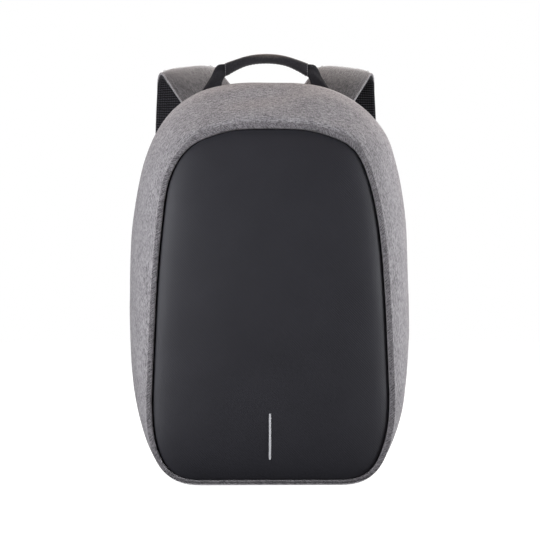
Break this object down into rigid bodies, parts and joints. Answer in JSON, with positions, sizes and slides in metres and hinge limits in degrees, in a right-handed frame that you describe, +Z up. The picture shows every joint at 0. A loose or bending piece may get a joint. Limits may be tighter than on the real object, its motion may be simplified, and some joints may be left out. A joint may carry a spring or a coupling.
{
  "type": "anti theft backpack",
  "caption": "Upright day backpack with a padded melange shell, a smooth front panel, a carrying handle, padded shoulder straps and a hidden zip at the back.",
  "frame": {"origin": "middle of the flat base, on the surface that the bag stands on", "axes": "+X to the right of someone who faces the front, the front faces -Y, +Z up"},
  "size_m": [0.294, 0.1961, 0.4518],
  "materials": {
    "grey_cloth": "matte melange weave",
    "front_cloth": "fine satin twill",
    "black_cloth": "matte plain weave",
    "air_mesh": "open spacer mesh",
    "webbing": "ribbed webbing",
    "plastic": "satin moulded",
    "zip_metal": "satin black",
    "reflector": "retroreflective tape"
  },
  "bodies": {
    "root": {"body_shell": "grey_cloth", "front_panel": "front_cloth", "reflective_strip": "reflector", "zip_track": "black_cloth", "zip_slider_lower": "zip_metal", "zip_slider_upper": "zip_metal", "zip_pull_lower": "webbing", "zip_pull_upper": "webbing", "back_panel": "black_cloth", "back_pad_left": "air_mesh", "back_pad_right": "air_mesh", "strap_yoke": "black_cloth", "strap_cover_left": "grey_cloth", "strap_cover_right": "grey_cloth", "strap_mesh_left": "air_mesh", "strap_mesh_right": "air_mesh", "strap_tab_left": "webbing", "strap_tab_right": "webbing", "ladder_lock_left": "plastic", "ladder_lock_right": "plastic", "adjuster_webbing_left": "webbing", "adjuster_webbing_right": "webbing", "strap_anchor_left": "black_cloth", "strap_anchor_right": "black_cloth", "handle_leg_left": "webbing", "handle_leg_right": "webbing", "handle_grip": "black_cloth"}
  },
  "joints": []
}
